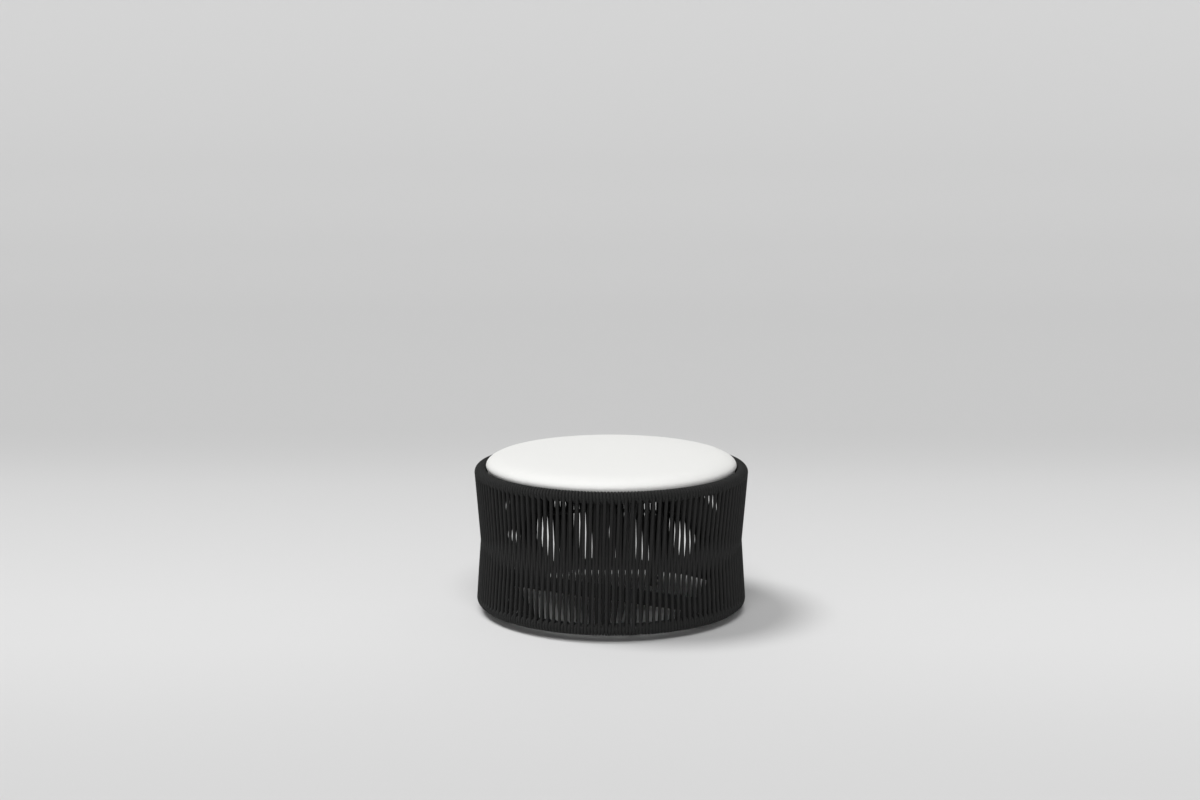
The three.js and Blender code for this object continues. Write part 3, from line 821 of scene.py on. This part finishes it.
def lathe_object(name, prof, segments, mat):
    v, f, uv = revolve(prof[1:-1], segments)
    o = mesh_object(name, v, f, uv, True, mat)
    bm = bmesh.new()
    bm.from_mesh(o.data)
    bmesh.ops.holes_fill(bm, edges=[e2 for e2 in bm.edges if e2.is_boundary])
    bmesh.ops.recalc_face_normals(bm, faces=bm.faces)
    for fc in bm.faces:
        fc.smooth = True
    bm.to_mesh(o.data)
    bm.free()
    return o


def apply_all(obj):
    """Replaces the object's mesh by its evaluated one and drops its modifiers."""
    dg = bpy.context.evaluated_depsgraph_get()
    ev = obj.evaluated_get(dg)
    me = bpy.data.meshes.new_from_object(ev, depsgraph=dg)
    old = obj.data
    obj.modifiers.clear()
    obj.data = me
    bpy.data.meshes.remove(old)
    return obj


def coords(obj):
    co = np.empty(len(obj.data.vertices) * 3, dtype=np.float32)
    obj.data.vertices.foreach_get("co", co)
    return co.reshape(-1, 3).astype(float)


def set_coords(obj, co):
    obj.data.vertices.foreach_set("co", co.astype(np.float32).ravel())
    obj.data.update()


def nearest_on(profile, q):
    """For each (r, z) point: nearest point of the profile and how far outside it is."""
    a, b = profile[:-1], profile[1:]
    ab = b - a
    best = np.full(len(q), 1e9)
    near = np.zeros_like(q)
    sign = np.zeros(len(q))
    for i in range(len(a)):
        t = np.clip(((q - a[i]) @ ab[i]) / max(ab[i] @ ab[i], 1e-12), 0, 1)
        p = a[i] + t[:, None] * ab[i]
        d = np.linalg.norm(q - p, axis=1)
        m = d < best
        best[m], near[m] = d[m], p[m]
        cross = ab[i][0] * (q[m, 1] - a[i][1]) - ab[i][1] * (q[m, 0] - a[i][0])
        sign[m] = np.where(cross < 0, 1.0, -1.0)
    return near, best * sign


def pressed(obj):
    """Keeps the cover inside the space over the slats and between the rim's ropes."""
    co = coords(obj)
    q = np.stack([np.hypot(co[:, 0], co[:, 1]), co[:, 2]], 1)
    near, out = nearest_on(SKIN, q)
    soft = -0.0005 + 0.0011 * np.tanh((out + 0.0022) / 0.0030)
    away = q - near
    away *= (np.sign(out) / np.maximum(np.abs(out), 1e-7))[:, None]      # unit, outwards
    k = near + away * soft[:, None]
    m = (np.abs(out) > 2e-5) & (q[:, 0] > 0.004)
    scale = np.where(m, k[:, 0] / np.maximum(q[:, 0], 1e-9), 1.0)
    co[:, 0] *= scale
    co[:, 1] *= scale
    co[:, 2] = np.where(m, k[:, 1], np.where(q[:, 0] > 0.004, co[:, 2], near[:, 1] + np.where(near[:, 1] > RIM_Z, 1.0, -1.0) * soft))
    # the underside rests on the slats and hangs a little between them
    y = co[:, 1]
    off = np.abs((y + 0.045 + 0.5 * 0.090) % 0.090 - 0.045)         # 0 in the middle of a slat
    r = np.hypot(co[:, 0], y)
    sag = 0.0013 * smooth((off - 0.021) / 0.016) * smooth((0.312 - r) / 0.02) * np.where(np.abs(y - ZIP_Y) < 0.0125, 0.0, 1.0)
    low = co[:, 2] < UNDER + 0.004
    co[:, 2] = np.where(low, np.maximum(co[:, 2], UNDER) - sag, co[:, 2])
    set_coords(obj, co)


cushion = lathe_object("cushion", inward(SKIN, 0.0022), 256, FABRIC)
m = modifier(cushion, "REMESH", "voxel", mode="VOXEL", voxel_size=0.005, use_smooth_shade=True)
apply_all(cushion)
rest = coords(cushion)
cl = modifier(cushion, "CLOTH", "cloth")
cl.settings.quality = 5
cl.settings.mass = 0.25
cl.settings.use_pressure = True
cl.settings.uniform_pressure_force = 4.0
cl.settings.tension_stiffness = 22
cl.settings.compression_stiffness = 18
cl.settings.shear_stiffness = 8
cl.settings.bending_stiffness = 1.2
cl.settings.effector_weights.gravity = 0.0
cl.collision_settings.use_collision = False
cl.point_cache.frame_start = 1
cl.point_cache.frame_end = 20
sc = bpy.context.scene
for fr in range(1, 21):
    sc.frame_set(fr)
apply_all(cushion)
sc.frame_set(1)
co = coords(cushion)
move = co - rest
far = np.linalg.norm(move, axis=1, keepdims=True)
set_coords(cushion, rest + move * (0.006 * np.tanh(far / 0.006) / np.maximum(far, 1e-9)))
modifier(cushion, "SUBSURF", "subdivision", levels=1, render_levels=1)
apply_all(cushion)
pressed(cushion)

# The zip's opening in the underside.
slot_v = np.array([(sx * 0.200, ZIP_Y + sy * 0.005, UNDER + z) for z in (-0.004, 0.0050) for sx, sy in ((-1, -1), (1, -1), (1, 1), (-1, 1))])
slot_f = [(3, 2, 1, 0), (4, 5, 6, 7), (0, 1, 5, 4), (1, 2, 6, 5), (2, 3, 7, 6), (3, 0, 4, 7)]
cutter = mesh_object("zip_opening", slot_v, slot_f, None, False)
modifier(cushion, "BOOLEAN", "zip_slot", operation="DIFFERENCE", object=cutter, solver="EXACT")
apply_all(cushion)
bpy.data.objects.remove(cutter, do_unlink=True)
cushion.data.materials.clear()
cushion.data.materials.append(FABRIC)
for pl in cushion.data.polygons:
    pl.use_smooth = True
modifier(cushion, "EDGE_SPLIT", "sharp_edges", split_angle=math.radians(50))
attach(cushion, "cushion")
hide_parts("cushion_cover")

# Rolled hems on both sides of the zip, and a flat sewn seam round the border.
hems = Builder()
t = np.linspace(-0.1985, 0.1985, 160)
local = np.random.default_rng(51)
for sy in (-1, 1):
    wob = np.interp(t, np.linspace(-0.2, 0.2, 40), local.normal(0, 0.00010, 40))
    path = np.stack([t, np.full_like(t, ZIP_Y + sy * 0.0062) + wob, np.full_like(t, UNDER + 0.0006)], 1)
    hems.tube(path, np.tile([0.0, 0.0, 1.0], (len(t), 1)), 0.0014, 10)
ang = np.linspace(0, 2 * math.pi, 721)[:-1]
seam_r, seam_z = 0.34185, RIM_Z + 0.0022
prof = [(0.0, -0.0021), (0.0007, -0.0017), (0.0009, -0.0006), (0.0004, -0.00015), (0.0003, 0.0), (0.0004, 0.00015), (0.0009, 0.0006), (0.0007, 0.0017), (0.0, 0.0021), (-0.0010, 0.0)]
pr = np.array(prof)
pts = dir_at(ang)[:, None, :] * (seam_r + pr[None, :, 0, None]) + np.array([0, 0, 1.0]) * (seam_z + pr[None, :, 1, None])
pts = np.concatenate([pts, pts[:1]])
uu = np.tile(np.arange(len(prof) + 1) / len(prof), (721, 1))
vv = np.tile((np.arange(721) / 720.0 * 400.0)[:, None], (1, len(prof) + 1))
hems.grid(pts, uu, vv)
hem_obj = hems.make("cover_seams", FABRIC)
clean_normals(hem_obj)
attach(hem_obj, "cushion")

core_pts = [(r * 0.978, UNDER + 0.0058 + (z - UNDER) * 0.85) for r, z in cushion_pts]
core = lathe_object("cushion_core", smooth_profile(core_pts, 4), 96, FOAM)
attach(core, "cushion")
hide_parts("cushion_foam")

for name, mat in (("zip_tape", TAPE), ("zip_slider", METAL)):
    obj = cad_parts[name]
    obj.data.materials.clear()
    obj.data.materials.append(mat)
modifier(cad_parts["zip_slider"], "BEVEL", "eased_edges", width=0.00045, segments=3, limit_method="ANGLE", angle_limit=math.radians(30))

# The coil of the zip, and the slider's bridge, ring and pull.
coil = Builder()
turns_n, per_turn = 262, 8
t = np.linspace(0, 1, turns_n * per_turn + 1)
ph = 2 * math.pi * turns_n * t
path = np.stack([-0.1965 + 0.393 * t + 0.00022 * np.sin(2 * ph), ZIP_Y + 0.0016 * np.cos(ph), UNDER + 0.00294 + 0.00008 * np.sin(ph)], 1)
coil.tube(path, np.tile([0.0, 0.0, 1.0], (len(t), 1)), 0.00013, 5)
coil_obj = coil.make("zip_coil", PLASTIC_WHITE)
clean_normals(coil_obj)
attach(coil_obj, "cushion")

pull = Builder()
sx = -0.191
arch = np.linspace(0, math.pi, 13)
path = np.stack([sx - 0.0042 * np.cos(arch), np.full(13, ZIP_Y), UNDER + 0.0006 - 0.0021 * np.sin(arch)], 1)
pull.tube(path, np.tile([0.0, 1.0, 0.0], (13, 1)), 0.0006, 8)
loop = np.linspace(0, 2 * math.pi, 33)
path = np.stack([sx + 0.0 * loop, ZIP_Y + 0.0024 * np.sin(loop), UNDER - 0.0036 + 0.0026 * np.cos(loop)], 1)
pull.tube(path, np.tile([1.0, 0.0, 0.0], (33, 1)), 0.00055, 8)
out = np.linspace(0, 2 * math.pi, 41)[:-1]
rows = []
for yy, k in ((-0.0006, 0.90), (-0.0004, 1.0), (0.0004, 1.0), (0.0006, 0.90)):
    px = 0.0031 * np.sign(np.cos(out)) * np.abs(np.cos(out)) ** 0.55 * k
    pz = 0.0100 * np.sign(np.sin(out)) * np.abs(np.sin(out)) ** 0.55 * (1 - (1 - k) * 0.3)
    rows.append(np.stack([sx + px, np.full(40, ZIP_Y + yy), UNDER - 0.0152 + pz], 1))
pts = np.stack(rows)
idx = pull.grid(pts, np.tile(np.arange(41) / 40, (4, 1)), np.tile(np.arange(4)[:, None] * 0.1, (1, 41)))
for row in (0, 3):
    ring = idx[row]
    pull.f.append(np.array([[ring[j], ring[j + 1], ring[38 - j], ring[39 - j]] for j in range(19)]))
    pull.uv.append(np.zeros((19, 4, 2)))
pull_obj = pull.make("zip_pull", METAL)
clean_normals(pull_obj)
modifier(pull_obj, "EDGE_SPLIT", "sharp_edges", split_angle=math.radians(45))
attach(pull_obj, "zip_slider")

# ------------------------------------------------------------- floor and lights
# Painted light and shade along the sweep: metres from the stool over the floor and up the wall, and the reflectance
# there, which rises and falls along the sweep to stand in for how the studio light falls across the floor and up the
# wall.
SWEEP_PAINTED_LIGHT = [(-4.0, 0.6332), (-1.511, 0.6332), (-1.314, 0.6414), (-1.04, 0.6581), (-0.733, 0.6823), (-0.384, 0.7028), (0.015, 0.6999), (0.476, 0.6754), (1.014, 0.644), (1.651, 0.6016), (2.111, 0.5542), (2.416, 0.5308), (2.744, 0.5173), (4.526, 0.5087), (8.706, 0.4782), (10.273, 0.5009), (11.603, 0.5565), (12.816, 0.6148), (20.0, 0.6148)]


def floor_material():
    n = Nodes("studio_floor")
    obj = n.coord("Object")
    xyz = n.split(obj)
    t = n.math("DIVIDE", n.math("ADD", n.math("ADD", xyz[1], xyz[2]), 4.0), 24.0, clamp=True)
    cloud = n.noise(obj, 0.8, 2.0, 0.5)
    # Painted light: the reflectance follows the table along the sweep in place of the light's fall-off over the floor
    # and up the wall.
    col = n.ramp(t, [((d + 4.0) / 24.0, (v, v, v)) for d, v in SWEEP_PAINTED_LIGHT])
    fleck = n.math("MULTIPLY_ADD", cloud, 0.012, -0.006)
    n.put(n.bsdf.inputs["Base Color"], n.mix_rgb(n.math("MULTIPLY", cloud, 0.01), col, (0.7, 0.7, 0.7, 1.0)))
    n.put(n.bsdf.inputs["Roughness"], n.math("ADD", fleck, 0.9))
    n.bsdf.inputs["Specular IOR Level"].default_value = 0.1
    return n.mat


FLOOR = floor_material()
xs = 14.0
prof = [(-8.0 + 0.5 * q, 0.0) for q in range(31)]
for a in np.linspace(0, 90, 25)[1:]:
    prof.append((7.0 + 5.0 * math.sin(math.radians(a)), 5.0 - 5.0 * math.cos(math.radians(a))))
prof.append((12.0, 12.0))
verts, faces = [], []
for i, (yy, zz) in enumerate(prof):
    verts += [(-xs, yy, zz), (xs, yy, zz)]
    if i:
        faces.append((2 * i - 2, 2 * i - 1, 2 * i + 1, 2 * i))
sweep = mesh_object("studio_floor", verts, faces, None, True, FLOOR)

world = bpy.data.worlds.new("studio")
bpy.context.scene.world = world
world.use_nodes = True
wt = world.node_tree
wt.nodes["Background"].inputs[0].default_value = (1.0, 1.0, 1.0, 1.0)
wt.nodes["Background"].inputs[1].default_value = 0.14


def lamp(kind, name, loc, target, energy, **settings):
    d = bpy.data.lights.new(name, kind)
    d.energy = energy
    for key, value in settings.items():
        setattr(d, key, value)
    o = bpy.data.objects.new(name, d)
    o.location = loc
    o.rotation_euler = (Vector(target) - Vector(loc)).to_track_quat("-Z", "Y").to_euler()
    return link(o)


def towards(azimuth, elevation):
    """A place 4 m away, at an azimuth from the front (towards +X) and an elevation."""
    a, e = math.radians(azimuth), math.radians(elevation)
    return (4 * math.sin(a) * math.cos(e), -4 * math.cos(a) * math.cos(e), 4 * math.sin(e))


# A large soft light high on the left, and two fills from the front.
lamp("SUN", "key_light", towards(-97, 66.5), (0.0, 0.0, 0.0), 1.630, angle=math.radians(21))
lamp("SUN", "fill_light", towards(0, 58), (0.0, 0.0, 0.0), 1.42, angle=math.radians(30))
lamp("SUN", "low_fill", towards(0, 16), (0.0, 0.0, 0.0), 0.72, angle=math.radians(12))

scene = bpy.context.scene
scene.view_settings.view_transform = "Standard"
scene.view_settings.look = "None"
